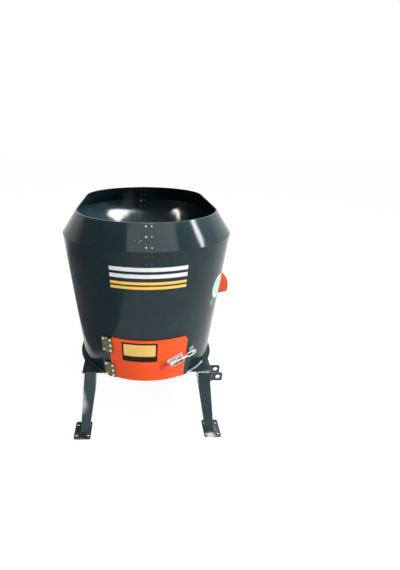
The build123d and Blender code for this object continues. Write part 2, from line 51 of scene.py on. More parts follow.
# The tub's form, read from the frame: an oval with a half circle at each end and straight sides
collar_low, collar_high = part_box("collar")
tub_low, tub_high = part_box("tub_shell")
plate_low, plate_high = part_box("floor_plate")
floor_margin = 25 * MM
belt_z, bottom_z, rim_z = tub_high.z, tub_low.z, collar_high.z
belt_radius = (collar_high.x - collar_low.x) / 2
bottom_radius = (plate_high.x - plate_low.x) / 2 - floor_margin
axis_x = (collar_low.x + collar_high.x) / 2
front_y = collar_low.y + belt_radius
belt_straight = collar_high.y - collar_low.y - 2 * belt_radius
bottom_straight = plate_high.y - front_y - bottom_radius
rim_ring = [v.co for v in nodes["collar"].data.vertices if v.co.z > rim_z - level_slack]
rim_radius = max(c.x for c in rim_ring) - axis_x
rim_straight = max(c.y for c in rim_ring) - front_y - rim_radius
auger_y = front_y + bottom_straight / 2

# How far each wall is from the front half circle's centre, at the bottom, the belt and the rim
front_wall = (bottom_radius, belt_radius, rim_radius)
rear_wall = (bottom_radius + bottom_straight, belt_radius + belt_straight, rim_radius + rim_straight)


def between(low, high, share):
    return low + (high - low) * share


def wall_reach(wall, z):
    bottom, belt, rim = wall
    if z > belt_z:
        return between(belt, rim, (z - belt_z) / (rim_z - belt_z))
    return between(bottom, belt, (z - bottom_z) / (belt_z - bottom_z))


def wall_lean(wall, z):
    """Angle of a wall to the vertical, positive where it widens upwards."""
    bottom, belt, rim = wall
    if z > belt_z:
        return -math.atan((belt - rim) / (rim_z - belt_z))
    return math.atan((belt - bottom) / (belt_z - bottom_z))


def tub_radius(z):
    return wall_reach(front_wall, z)


def outward(az):
    """Level direction straight out of the front half circle, az degrees from -Y towards +X."""
    angle = math.radians(az)
    return Vector((math.sin(angle), -math.cos(angle), 0))


def front_point(az, z, out=0.0):
    return Vector((axis_x, front_y, z)) + outward(az) * (tub_radius(z) + out)


def place_from(right, up, out, spot):
    """Matrix of a spot whose x, y and z axes point right, up and out."""
    place = Matrix((right, up, out)).transposed().to_4x4()
    place.translation = spot
    return place


def wall_place(az, z, out=0.0, tilt=0.0):
    """Matrix of a spot on the front wall: x right, y up the wall, z straight out of it."""
    slope = wall_lean(front_wall, z)
    flat = outward(az)
    right = Vector((-flat.y, flat.x, 0))
    normal = flat * math.cos(slope) - Vector((0, 0, math.sin(slope)))
    up = normal.cross(right)
    turn = math.radians(tilt)
    along = right * math.cos(turn) + up * math.sin(turn)
    return place_from(along, normal.cross(along), normal, front_point(az, z) + normal * out)


def shift(x, y, z):
    """Matrix that moves by millimetres."""
    return Matrix.Translation((x * MM, y * MM, z * MM))


def lifted(out):
    """Matrix that moves outwards by metres."""
    return Matrix.Translation((0, 0, out))


def circle(steps, first=0.0):
    """Evenly spaced angles of one full turn."""
    return [first + 2 * math.pi * step / steps for step in range(steps)]


# Material nodes


def new_material(name):
    material = bpy.data.materials.new(name)
    material.use_nodes = True
    tree = material.node_tree
    return material, tree, tree.nodes["Principled BSDF"]


def feed(tree, socket, value):
    """Links an output to a socket, or writes a number, a place or a colour into it."""
    if isinstance(value, bpy.types.NodeSocket):
        tree.links.new(value, socket)
    elif socket.type == "RGBA":
        socket.default_value = (*value, 1)
    else:
        socket.default_value = value


def add_node(tree, kind, **values):
    """A new node. Keys in small letters are its settings, capitalised ones its inputs."""
    made = tree.nodes.new("ShaderNode" + kind)
    for key, value in values.items():
        if key[0].isupper():
            feed(tree, made.inputs[key], value)
        else:
            setattr(made, key, value)
    return made


def math_node(tree, operation, *values, kind="Math", output="Value"):
    """One operation on numbers, or on places where kind is VectorMath."""
    made = add_node(tree, kind, operation=operation)
    for socket, value in zip(made.inputs, values):
        feed(tree, socket, value)
    return made.outputs[output]


def object_place(tree):
    place = tree.nodes.get("Texture Coordinate") or add_node(tree, "TexCoord")
    return place.outputs["Object"]


def noise_node(tree, scale, detail, rough=0.5, stretch=None):
    """Noise fixed to the object. A stretch packs its grain closer along one axis."""
    spot = object_place(tree)
    if stretch:
        spot = add_node(tree, "Mapping", Vector=spot, Scale=stretch).outputs["Vector"]
    made = add_node(tree, "TexNoise", Vector=spot, Scale=scale, Detail=detail, Roughness=rough)
    return made.outputs["Fac"]


def ramp(tree, source, low, high, first, second):
    """Fades from the first colour or grey level at low to the second one at high."""
    made = add_node(tree, "ValToRGB", Fac=source)
    for element, position, value in zip(made.color_ramp.elements, (low, high), (first, second)):
        element.position = position
        element.color = (*value, 1) if isinstance(value, tuple) else (value, value, value, 1)
    return made.outputs["Color"]


def mix_color(tree, factor, first, second):
    made = add_node(tree, "Mix", data_type="RGBA")
    for number, value in ((0, factor), (6, first), (7, second)):
        feed(tree, made.inputs[number], value)
    return made.outputs[2]


def shade(color, factor):
    return tuple(min(1.0, part * factor) for part in color)


def edge_wear(tree, radius, sharp, flat):
    """0 on flat faces and 1 along edges, where the rounded normal turns away from the true one."""
    rounded = add_node(tree, "Bevel", samples=4, Radius=radius).outputs["Normal"]
    true = add_node(tree, "NewGeometry").outputs["Normal"]
    dot = math_node(tree, "DOT_PRODUCT", rounded, true, kind="VectorMath")
    return ramp(tree, dot, sharp, flat, 1.0, 0.0)


def dress(tree, shader, base, rough, bumps):
    """Feeds colour, roughness and stacked bumps, each bump being (noise, strength, distance)."""
    feed(tree, shader.inputs["Base Color"], base)
    feed(tree, shader.inputs["Roughness"], rough)
    normal = None
    for source, strength, distance in bumps:
        bump = add_node(tree, "Bump", Strength=strength, Distance=distance, Height=source)
        if normal:
            feed(tree, bump.inputs["Normal"], normal)
        normal = bump.outputs["Normal"]
    feed(tree, shader.inputs["Normal"], normal)


# Kinds of finish


def paint(name, color, dust_color, dust, roughness=0.09, wave=0.05, wear=None, gloss=0.3):
    """Sprayed paint on sheet steel: slight colour drift, dust film, orange peel and soft dents."""
    material, tree, shader = new_material(name)
    drift = noise_node(tree, scale=2.2, detail=4.0)
    film = noise_node(tree, scale=7.0, detail=8.0, rough=0.65)
    speck = noise_node(tree, scale=95.0, detail=1.0)
    peel = noise_node(tree, scale=420.0, detail=2.0)
    dents = noise_node(tree, scale=5.0, detail=1.5)
    base = ramp(tree, drift, 0.35, 0.65, shade(color, 0.86), shade(color, 1.14))
    for source, low, high in ((film, 0.52, 0.8), (speck, 0.78, 0.84)):
        base = mix_color(tree, ramp(tree, source, low, high, 0.0, dust), base, dust_color)
    if wear:
        worn = edge_wear(tree, radius=2.5 * MM, sharp=0.93, flat=0.995)
        patchy = ramp(tree, film, 0.44, 0.6, 0.0, 1.0)
        base = mix_color(tree, math_node(tree, "MULTIPLY", worn, patchy), base, wear)
    shader.inputs["Specular IOR Level"].default_value = gloss
    rough = ramp(tree, film, 0.3, 0.85, roughness, roughness + 0.08)
    dress(tree, shader, base, rough, [(dents, wave, 40 * MM), (peel, 0.08, 0.4 * MM)])
    return material


def add_patch(material, centre, reach, color, strength, grain=38.0, squeeze=1.0, smooth=0.4):
    """A patch of colour round one spot, fading out at a distance, for scuffs, dust and painted highlights;
    squeeze below 1 makes it tall.
    """
    tree = material.node_tree
    base = tree.nodes["Principled BSDF"].inputs["Base Color"]
    narrow = math_node(
        tree, "MULTIPLY", object_place(tree), (1.0, 1.0, squeeze), kind="VectorMath", output="Vector")
    target = (centre[0], centre[1], centre[2] * squeeze)
    distance = math_node(tree, "DISTANCE", narrow, target, kind="VectorMath")
    near = ramp(tree, distance, reach * 0.3, reach, strength, 0.0)
    uneven = ramp(tree, noise_node(tree, grain, detail=6.0, rough=0.7), smooth, 0.6, 0.0, 1.0)
    cover = math_node(tree, "MULTIPLY", near, uneven)
    feed(tree, base, mix_color(tree, cover, base.links[0].from_socket, color))


def metal(name, color, tint, roughness, scale=60.0, stretch=None, stain=0.4):
    """Bare or plated metal: mottled colour, uneven roughness and fine scratches."""
    material, tree, shader = new_material(name)
    mottle = noise_node(tree, scale, detail=6.0, rough=0.6)
    scratches = noise_node(tree, scale * 9, detail=2.0, stretch=stretch)
    base = mix_color(tree, ramp(tree, mottle, 0.4, 0.7, 0.0, stain), color, tint)
    rough = ramp(tree, mottle, 0.3, 0.8, roughness, roughness + 0.25)
    shader.inputs["Metallic"].default_value = 1.0
    dress(tree, shader, base, rough, [(scratches, 0.15, 0.3 * MM)])
    return material


def plastic(name, color, roughness, grain=0.25, drift_range=0.2, gloss=0.5):
    """Moulded plastic or printed film: a little colour drift and a fine grain."""
    material, tree, shader = new_material(name)
    drift = noise_node(tree, scale=18.0, detail=5.0)
    fine = noise_node(tree, scale=900.0, detail=2.0)
    base = ramp(tree, drift, 0.35, 0.7, shade(color, 1 - drift_range), shade(color, 1 + drift_range))
    rough = ramp(tree, drift, 0.3, 0.8, roughness, roughness + 0.15)
    shader.inputs["Specular IOR Level"].default_value = gloss
    dress(tree, shader, base, rough, [(fine, grain, 0.2 * MM)])
    return material


def marking(name, color, drift_range=0.08):
    return plastic(name, color, 0.35, 0.08, drift_range)


# Paints, metals and films

slate = (0.0085, 0.0225, 0.0275)
slate_light = (0.019, 0.038, 0.046)
dust_tone = (0.13, 0.17, 0.18)
orange_dust = (0.75, 0.3, 0.16)
bare_steel = (0.42, 0.41, 0.4)
paint_slate = paint("slate_paint", slate, dust_tone, 0.08, gloss=0.26)
paint_frame = paint("frame_paint", slate_light, dust_tone, 0.3, wear=bare_steel)
# A darker copy of the frame paint: painted shade on the right front leg, the floor plate and the rails
shaded_frame_paint = paint("frame_paint_shaded", (0.012, 0.027, 0.033), dust_tone, 0.4, wear=bare_steel)
# A lighter copy of the frame paint: painted light on the left front leg
lit_leg_finish = paint("lit_leg_paint", (0.025, 0.048, 0.058), dust_tone, 0.3, wear=bare_steel)
foot_finish = paint("foot_paint", slate_light, dust_tone, 0.5, wear=bare_steel)
paint_inside = paint("housing_paint", (0.012, 0.018, 0.021), dust_tone, 0.3, roughness=0.4)
paint_auger = paint("auger_paint", slate, dust_tone, 0.25, wear=(0.5, 0.49, 0.47))
paint_orange = paint(
    "orange_paint", (0.8, 0.076, 0.011), orange_dust, 0.06, roughness=0.3, wave=0.03, gloss=0.18)
paint_knife = paint("knife_paint", (0.8, 0.1, 0.028), orange_dust, 0.06, roughness=0.3, gloss=0.18)
weld_paint = paint("weld_paint", (0.03, 0.043, 0.048), (0.35, 0.37, 0.37), 0.4, roughness=0.25, gloss=0.5)
bolt_dark = paint("bolt_paint", (0.045, 0.06, 0.066), (0.3, 0.31, 0.3), 0.3, roughness=0.25, gloss=0.5)
weld_bright = metal("weld_bright", (0.56, 0.61, 0.63), (0.07, 0.09, 0.1), 0.32, scale=90.0, stain=0.95)
zinc_yellow = metal("yellow_zinc", (0.24, 0.22, 0.11), (0.07, 0.065, 0.03), 0.42, scale=45.0, stain=0.8)
zinc_bright = metal("bright_zinc", (0.8, 0.8, 0.79), (0.42, 0.42, 0.41), 0.22, scale=80.0, stain=0.6)
bolt_bright = metal("bolt_bright", (0.85, 0.87, 0.88), (0.6, 0.62, 0.63), 0.3, scale=200.0)
bolt_grey = metal("bolt_grey", (0.5, 0.53, 0.54), (0.3, 0.32, 0.33), 0.35, scale=200.0)
blade = metal("blade_steel", (0.4, 0.4, 0.39), (0.2, 0.18, 0.16), 0.36, stretch=(1.0, 1.0, 12.0))
machined = metal("machined_steel", (0.62, 0.62, 0.61), (0.4, 0.39, 0.37), 0.25, stretch=(12.0, 1.0, 1.0))
grip_red = plastic("red_grip", (0.72, 0.02, 0.025), 0.35)
guard_black = plastic("guard_plastic", (0.02, 0.02, 0.02), 0.5)
label_black = plastic("label_border", (0.012, 0.004, 0.003), 0.4, grain=0.1, gloss=0.15)
label_yellow = plastic("label_panel", (0.76, 0.5, 0.11), 0.4, grain=0.08, drift_range=0.06)
mark_white = marking("marking_white", (0.74, 0.76, 0.76), drift_range=0.06)
badge_pale = marking("badge_white", (0.58, 0.6, 0.6), drift_range=0.06)
mark_yellow = marking("marking_yellow", (0.88, 0.52, 0.09))
mark_mint = marking("marking_mint", (0.3, 0.6, 0.47))
mark_green = marking("marking_green", (0.05, 0.24, 0.12))

# A painted highlight and a scuff on the left front leg, and dust and a painted highlight on the right front
# foot

glint = (0.8, 0.88, 0.92)
scuff = (0.5, 0.55, 0.57)
dust_spot = (0.42, 0.46, 0.5)
foot_glint = (0.75, 0.8, 0.83)
leg_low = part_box("leg_front_left")[0]
foot_low, foot_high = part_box("foot_front_right")
leg_glint_place = (leg_low.x + 8 * MM, leg_low.y + 40 * MM, 272 * MM)
leg_scuff_place = (leg_low.x + 30 * MM, leg_low.y + 35 * MM, 205 * MM)
foot_dust_place = (foot_high.x - 20 * MM, foot_low.y + 60 * MM, foot_high.z)
foot_glint_place = (foot_low.x + 38 * MM, foot_low.y + 6 * MM, foot_high.z)
add_patch(lit_leg_finish, leg_glint_place, 46 * MM, glint, 1.0, grain=34.0, squeeze=0.3, smooth=0.0)
add_patch(lit_leg_finish, leg_scuff_place, 34 * MM, scuff, 0.6, grain=34.0, squeeze=0.45, smooth=0.25)
add_patch(foot_finish, foot_dust_place, 80 * MM, dust_spot, 0.2)
add_patch(foot_finish, foot_glint_place, 34 * MM, foot_glint, 0.95, grain=70.0, smooth=0.3)

# The finish of each CAD node; the others have the frame's paint

node_finish = {
    "tub_shell": paint_slate,
    "collar": paint_slate,
    "front_strap": paint_slate,
    "rear_strap": paint_slate,
    "leg_front_left": lit_leg_finish,
    "leg_front_right": shaded_frame_paint,
    "foot_front_right": foot_finish,
    "floor_plate": shaded_frame_paint,
    "rail_front": shaded_frame_paint,
    "rail_rear": shaded_frame_paint,
    "door_panel": paint_orange,
    "counter_knife": paint_knife,
    "knife_bracket": paint_knife,
    "gearbox": paint_inside,
    "pto_guard": guard_black,
    "pto_shaft": machined,
    "auger_core": paint_auger,
    "auger_flight": paint_auger,
    "latch_base": zinc_bright,
    "latch_rod": zinc_bright,
    "latch_handle": zinc_bright,
    "latch_catch": bolt_grey,
}
for node_name, node_object in nodes.items():
    finish = node_finish.get(node_name, paint_frame)
    if node_name.startswith("hinge_"):
        finish = zinc_yellow
    if node_name.startswith("auger_knife"):
        finish = blade
    node_object.data.materials.clear()
    node_object.data.materials.append(finish)


# Mesh helpers


def add_piece(name, mesh, material, body):
    mesh.materials.append(material)
    piece = bpy.data.objects.new(name, mesh)
    bpy.context.scene.collection.objects.link(piece)
    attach(piece, body)
    return piece


def finish_mesh(name, work, smooth_angle=35.0):
    """Turns a bmesh into a mesh that is smooth except over sharp edges."""
    bmesh.ops.recalc_face_normals(work, faces=work.faces)
    limit = math.radians(smooth_angle)
    for face in work.faces:
        face.smooth = True
    for edge in work.edges:
        edge.smooth = len(edge.link_faces) == 2 and edge.calc_face_angle(0.0) < limit
    mesh = bpy.data.meshes.new(name)
    work.to_mesh(mesh)
    work.free()
    return mesh


def lathe(work, place, profile, segments=16, first=0.0):
    """Turns a profile of (radius, height) points about the local z of a place."""
    rings = []
    for radius, height in profile:
        angles = circle(segments, first) if radius else [0.0]
        spots = [Vector((radius * math.cos(angle), radius * math.sin(angle), height)) for angle in angles]
        rings.append([work.verts.new(place @ spot) for spot in spots])
    for low, high in zip(rings, rings[1:]):
        for step in range(segments):
            after = (step + 1) % segments
            if len(low) == 1:
                work.faces.new((low[0], high[after], high[step]))
            elif len(high) == 1:
                work.faces.new((low[step], low[after], high[0]))
            else:
                work.faces.new((low[step], low[after], high[after], high[step]))


def washer(work, place, radius, thickness):
    edge = thickness * 0.25
    profile = [(0, 0), (radius, 0), (radius, thickness - edge), (radius - edge, thickness), (0, thickness)]
    lathe(work, place, profile, 20)


def hex_head(work, place, radius, height, turn):
    top = height * 0.82
    profile = [(0, 0), (radius, 0), (radius, top), (radius * 0.84, height), (0, height)]
    lathe(work, place, profile, 6, turn)


def dome_head(work, place, radius, height):
    curve = [math.pi / 2 * step / 5 for step in range(5)]
    profile = [(radius * math.cos(angle), height * math.sin(angle)) for angle in curve]
    lathe(work, place, [(0, 0), *profile, (0, height)])


def bolt_set(name, places, material, body, head, height, seed=3):
    """Hex bolts on washers at places whose z points out of the surface."""
    thickness = 1.6 * MM
    order = random.Random(seed)
    work = bmesh.new()
    for place in places:
        washer(work, place, head * 1.45, thickness)
        hex_head(work, place @ lifted(thickness), head, height, order.uniform(0, 1))
    return add_piece(name, finish_mesh(name, work), material, body)


def dome_set(name, places, material, body, head, height):
    """Round-headed bolts or rivets on washers."""
    thickness = 1.2 * MM
    work = bmesh.new()
    for place in places:
        washer(work, place, head * 1.3, thickness)
        dome_head(work, place @ lifted(thickness), head, height)
    return add_piece(name, finish_mesh(name, work), material, body)


def loft(work, rings):
    """Closed skin over rings of points that all have the same count."""
    loops = [[work.verts.new(spot) for spot in ring] for ring in rings]
    count = len(loops[0])
    for low, high in zip(loops, loops[1:]):
        for step in range(count):
            after = (step + 1) % count
            work.faces.new((low[step], low[after], high[after], high[step]))
    work.faces.new(list(reversed(loops[0])))
    work.faces.new(loops[-1])


def lofted(name, rings, material, body, smooth_angle=35.0):
    work = bmesh.new()
    loft(work, rings)
    return add_piece(name, finish_mesh(name, work, smooth_angle), material, body)


def resample(points, spacing):
    """The same line with evenly spaced points."""
    found = [points[0]]
    left = spacing
    for start, end in zip(points, points[1:]):
        length = (end - start).length
        done = 0.0
        while length - done >= left:
            done += left
            found.append(start.lerp(end, done / length))
            left = spacing
        left -= length - done
    if (found[-1] - points[-1]).length > spacing * 0.3:
        found.append(points[-1])
    return found


bead_step = 2.5 * MM
bead_side = Vector((0.31, 0.17, 0.93))
bead_end = 0.4


def bead(name, lines, radius, material, ripple=0.16, rough=0.06, seed=1):
    """Weld beads along lines of points: tubes whose ripples follow each other like fish scales."""
    order = random.Random(seed)
    work = bmesh.new()
    for line in lines:
        line = resample([Vector(spot) for spot in line], bead_step)
        last = len(line) - 1
        rings = []
        for index, spot in enumerate(line):
            ahead = (line[min(index + 1, last)] - line[max(index - 1, 0)]).normalized()
            side = ahead.cross(bead_side).normalized()
            lift = ahead.cross(side)
            wave = 1 + ripple * (1 if index % 2 else -1) + order.uniform(-rough, rough)
            if index in (0, last):
                wave *= bead_end
            centre = spot + side * order.uniform(-rough, rough) * radius
            arms = [side * math.cos(angle) + lift * math.sin(angle) for angle in circle(8)]
            rings.append([centre + arm * radius * wave for arm in arms])
        loft(work, rings)
    return add_piece(name, finish_mesh(name, work, 70.0), material, "frame")


def wrapped(name, left, right, edges, out, thickness, material, body, columns=24):
    """A sticker bent round the front wall. edges gives its lowest and highest z at a share of its width."""
    rows = 4
    work = bmesh.new()
    layers = []
    for depth in (out, out + thickness):
        grid = []
        for column in range(columns + 1):
            share = 0.5 - 0.5 * math.cos(math.pi * column / columns)
            az = between(left, right, share)
            low, high = edges(share)
            heights = [between(low, high, row / rows) for row in range(rows + 1)]
            grid.append([work.verts.new(front_point(az, z, depth)) for z in heights])
        layers.append(grid)
    inner, outer = layers
    for c in range(columns):
        for r in range(rows):
            work.faces.new((outer[c][r], outer[c + 1][r], outer[c + 1][r + 1], outer[c][r + 1]))
            work.faces.new((inner[c][r + 1], inner[c + 1][r + 1], inner[c + 1][r], inner[c][r]))
        for r in (0, rows):
            work.faces.new((inner[c][r], inner[c + 1][r], outer[c + 1][r], outer[c][r]))
    for c in (0, columns):
        for r in range(rows):
            work.faces.new((inner[c][r], inner[c][r + 1], outer[c][r + 1], outer[c][r]))
    bmesh.ops.remove_doubles(work, verts=work.verts, dist=1e-6)
    return add_piece(name, finish_mesh(name, work), material, body)


def straight_edges(level, height):
    return lambda share: (level - height / 2, level + height / 2)


def oval_edges(level, height):
    def edges(share):
        half = height / 2 * math.sqrt(max(0.0, 1 - (2 * share - 1) ** 2))
        return level - half, level + half
    return edges


def rounded_edges(level, height):
    corner_share = 0.03

    def edges(share):
        near = min(share, 1 - share)
        dip = 0.0
        if near < corner_share:
            part = 1 - near / corner_share
            dip = 1 - math.sqrt(max(0.0, 1 - part * part))
        half = height / 2 - dip * min(height / 2, corner_share * height * 2)
        return level - half, level + half
    return edges


# Straps with their bolts: on the collar bright metal as painted highlights, the left column brighter than
# the right; dark painted on the tub

strap_columns = (-14 * MM, 14 * MM)
strap_rows = (1322 * MM, 1276 * MM, 1230 * MM, 1195 * MM, 1150 * MM)
bright_rows = 3
strap_top = 5.3 * MM
strap_head, strap_head_height = 3.1 * MM, 2.6 * MM


def rear_place(across, z):
    """Matrix of a spot on the middle of the back wall, strap_top behind it."""
    slope = wall_lean(rear_wall, z)
    normal = Vector((0, math.cos(slope), -math.sin(slope)))
    side = Vector((-1, 0, 0))
    spot = Vector((axis_x + across, front_y + wall_reach(rear_wall, z) + strap_top, z))
    return place_from(side, normal.cross(side), normal, spot)


front_out = strap_top * math.cos(wall_lean(front_wall, bottom_z))
strap_spots = [(across, z) for z in strap_rows for across in strap_columns]
front_bolts = [wall_place(math.degrees(across / tub_radius(z)), z, front_out) for across, z in strap_spots]
rear_bolts = [rear_place(across, z) for across, z in strap_spots]
bright_count = bright_rows * len(strap_columns)
for side, places in (("front", front_bolts), ("rear", rear_bolts)):
    for group, chosen, finish in (
        ("left_bolts", places[:bright_count:2], bolt_bright),
        ("right_bolts", places[1:bright_count:2], bolt_grey),
        ("tub_bolts", places[bright_count:], bolt_dark),
    ):
        dome_set(f"{side}_strap_{group}", chosen, finish, "frame", strap_head, strap_head_height)

# Hinge bolts: two on each wall leaf, three on each door leaf, placed in millimetres from its middle

hinge_az = -31.6
hinge_levels = (("upper", 628 * MM), ("lower", 447 * MM))
leaf_top = 10.3
for level, hinge_z in hinge_levels:
    for side, body, spots in (
        ("wall", "frame", ((-23, 38), (-23, -38))),
        ("door", "door", ((22, 36), (24, 0), (22, -36))),
    ):
        places = [wall_place(hinge_az, hinge_z) @ shift(x, y, leaf_top) for x, y in spots]
        bolt_set(f"hinge_{level}_{side}_bolts", places, bolt_bright, body, 5.8 * MM, 6 * MM)

# Door label: a dark border with a blank yellow panel, and a bare strip under it

door_out = 6.0 * MM
border_thickness, film_thickness = 0.4 * MM, 0.3 * MM
panel_out = door_out + border_thickness
for label_name, left, right, level, height, out, thickness, material in (
    ("label_base", -19.5, 7.0, 602 * MM, 130 * MM, door_out, border_thickness, label_black),
    ("label_panel", -18.2, 5.6, 616 * MM, 80 * MM, panel_out, film_thickness, label_yellow),
):
    wrapped(label_name, left, right, rounded_edges(level, height), out, thickness, material, "door")

# Plain stripes across the front of the tub, and a plain badge of three ovals at its right

film_gap = 0.2 * MM
stripe_left, stripe_right, stripe_columns = -24.5, 24.5, 40
for stripe_name, level, height, material in (
    ("stripe_white", 1118 * MM, 22 * MM, mark_white),
    ("stripe_white_low", 1080 * MM, 22 * MM, mark_white),
    ("stripe_yellow", 1040 * MM, 16 * MM, mark_yellow),
    ("stripe_yellow_low", 1014 * MM, 16 * MM, mark_yellow),
):
    edges = straight_edges(level, height)
    wrapped(stripe_name, stripe_left, stripe_right, edges, film_gap, film_thickness, material, "frame",
            stripe_columns)
for badge_name, left, right, level, height, out, material, columns in (
    ("badge_white", 53, 71, 924 * MM, 148 * MM, film_gap, badge_pale, 32),
    ("badge_mint", 55.5, 68.5, 926 * MM, 112 * MM, film_gap + film_thickness, mark_mint, 32),
    ("badge_green", 52.5, 57, 838 * MM, 58 * MM, film_gap, mark_green, 24),
):
    edges = oval_edges(level, height)
    wrapped(badge_name, left, right, edges, out, film_thickness, material, "frame", columns)

# Welds of the belt and of the tub's bottom


def arc_line(radius, centre_y, z, start, end, steps):
    """Points along one end of the oval from one azimuth to another."""
    centre = Vector((axis_x, centre_y, z))
    return [centre + outward(between(start, end, step / steps)) * radius for step in range(steps + 1)]


belt_weld_radius = belt_radius - 1.8 * MM
belt_line = arc_line(belt_weld_radius, front_y, belt_z, -90, 90, 48)
belt_line += arc_line(belt_weld_radius, front_y + belt_straight, belt_z, 90, 270, 48)
bead("belt_weld", [belt_line + belt_line[:1]], 1.6 * MM, paint_slate, ripple=0.05)
seat_z = bottom_z + 1.5 * MM
floor_weld_radius = bottom_radius + 2 * MM
for weld_name, start_az, end_az, radius, finish, ripple, rough, weld_seed in (
    ("floor_weld_right", 34.5, 58, 5.4 * MM, weld_bright, 0.14, 0.3, 5),
    ("floor_weld_side", 58, 90, 3.2 * MM, weld_paint, 0.16, 0.06, 6),
    ("floor_weld_left", -90, -38, 3.2 * MM, weld_paint, 0.16, 0.06, 7),
):
    line = arc_line(floor_weld_radius, front_y, seat_z, start_az, end_az, 60)
    bead(weld_name, [line], radius, finish, ripple, rough, seed=weld_seed)

# Welds of the legs: along the head's outer edge, and round the toe on its foot


def leg_welds(end_name, side):
    foot_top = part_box(f"foot_{end_name}_{side}")[1].z
    spots = [v.co for v in nodes[f"leg_{end_name}_{side}"].data.vertices]
    head_z = max(c.z for c in spots)
    head = [c for c in spots if c.z > head_z - level_slack]
    toe = [c for c in spots if c.z < foot_top + level_slack]
    sign = -1 if end_name == "front" else 1
    edge_y = sign * max(sign * c.y for c in head) + sign * 1.0 * MM
    weld_z = head_z - 1.5 * MM
    line = [(pick(c.x for c in head), edge_y, weld_z) for pick in (min, max)]
    bright = (end_name, side) == ("front", "right")
    radius, finish = (4.2 * MM, weld_bright) if bright else (2.6 * MM, weld_paint)
    bead(f"leg_weld_{end_name}_{side}", [line], radius, finish, seed=11)
    low_x, high_x = min(c.x for c in toe), max(c.x for c in toe)
    low_y, high_y = min(c.y for c in toe), max(c.y for c in toe)
    corners = ((low_x, low_y), (high_x, low_y), (high_x, high_y), (low_x, high_y), (low_x, low_y))
    ring = [(x, y, foot_top + 1.0 * MM) for x, y in corners]
    bead(f"foot_weld_{end_name}_{side}", [ring], 2.6 * MM, weld_paint, seed=12)


for side in ("left", "right"):
    for end_name in ("front", "rear"):
        leg_welds(end_name, side)

# Toggle latch: red grip sleeve, a dark sheet in its base and dark discs for holes as painted shade, back
# plate, rivets and plate screws

latch_az, latch_z, latch_tilt = 21.5, 530 * MM, 20.4
latch_place = wall_place(latch_az, latch_z, door_out, latch_tilt)

# On the latch, x runs along the handle, y across it and z out of the door, all in millimetres.
# A section of the grip is its place along the handle, half its width and half its height.
cheek_out = 22
base_top, shade_thickness = 4, 0.4
plate_back, plate_top = -2.5, 1.6
grip_middle = 16
grip_sections = (
    (-38, 10.4, 4.6), (-39.5, 12.2, 5.8), (-55, 10.2, 6.2), (-70, 9.0, 6.0),
    (-80, 9.4, 5.8), (-88, 12.4, 5.4), (-94, 13.6, 4.8), (-96, 11.8, 3.6),
)
sideways = {1: Matrix.Rotation(-math.pi / 2, 4, "X"), -1: Matrix.Rotation(math.pi / 2, 4, "X")}


def latch_plate_rings(outline, low, high):
    return [[latch_place @ Vector((x * MM, y * MM, z * MM)) for x, y in outline] for z in (low, high)]


def squared(value):
    """Widens a sine or cosine, so that a circle becomes a square with round corners."""
    return math.copysign(abs(value) ** 0.6, value)


def make_grip():
    rings = []
    for along, half_width, half_height in grip_sections:
        ring = []
        for angle in circle(20):
            across = squared(math.cos(angle)) * half_width
            lift = squared(math.sin(angle)) * half_height
            ring.append(latch_place @ Vector((along * MM, across * MM, (grip_middle + lift) * MM)))
        rings.append(ring)
    lofted("latch_grip", rings, grip_red, "door", 50.0)


def make_latch_plates():
    # A thin dark sheet between the cheeks: painted shade
    shade_outline = ((-6, -18), (46, -18), (46, 18), (-6, 18))
    shade_rings = latch_plate_rings(shade_outline, base_top, base_top + shade_thickness)
    lofted("latch_painted_shade", shade_rings, guard_black, "door")
    plate_outline = ((-52, -22), (-44, -30), (48, -30), (54, -24), (54, 24), (48, 30), (-44, 30), (-52, 22))
    plate_rings = latch_plate_rings(plate_outline, plate_back, plate_top)
    lofted("latch_plate", plate_rings, zinc_bright, "door")


def make_latch_fasteners():
    hole_shade_thickness = 0.4 * MM
    rivets = []
    hole_shades = []
    for sign in (-1, 1):
        rivets += [latch_place @ shift(along, sign * cheek_out, 13) @ sideways[sign] for along in (12, 40)]
        hole_shades += [latch_place @ shift(along, sign * cheek_out, 12) @ sideways[sign] for along in (-8, 26)]
    dome_set("latch_rivets", rivets, bolt_bright, "door", 4.2 * MM, 2.4 * MM)
    # Thin dark discs on the cheeks and the base: painted shade of holes
    work = bmesh.new()
    for place in hole_shades:
        washer(work, place, 4.5 * MM, hole_shade_thickness)
    for along, across in ((-34, 0), (-14, 14), (-14, -14)):
        washer(work, latch_place @ shift(along, across, base_top), 3.6 * MM, hole_shade_thickness)
    add_piece("latch_hole_shades", finish_mesh("latch_hole_shades", work), guard_black, "door")
    corners = ((-43, 24), (-43, -24), (46, 25), (46, -25))
    screws = [latch_place @ shift(x, y, plate_top) for x, y in corners]
    bolt_set("latch_screws", screws, bolt_bright, "door", 4.6 * MM, 3.2 * MM, seed=8)


make_grip()
make_latch_plates()
make_latch_fasteners()

# Hinge pin heads

pin_half, pin_out = 50, 12.3
for level, hinge_z in hinge_levels:
    place = wall_place(hinge_az, hinge_z)
    heads = [place @ shift(0, sign * pin_half, pin_out) @ sideways[sign] for sign in (-1, 1)]
    dome_set(f"hinge_{level}_pin_heads", heads, zinc_bright, "frame", 4.6 * MM, 2.6 * MM)

# Counter knife with its full rounded outline: part of an ellipse with a round lower corner

knife_low, knife_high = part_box("counter_knife")
oval_x, oval_z = knife_low.x - 4 * MM, knife_low.z + 35 * MM
oval_half_x, oval_half_z = 70 * MM, 102 * MM
knife_corner = 11 * MM
knife_wall_gap = 4 * MM
corner_steps, edge_steps = 6, 18
knife_bevel, knife_bevel_share = 1 * MM, 0.985


def knife_edge_x(z):
    return oval_x + oval_half_x * math.sqrt(1 - ((z - oval_z) / oval_half_z) ** 2)


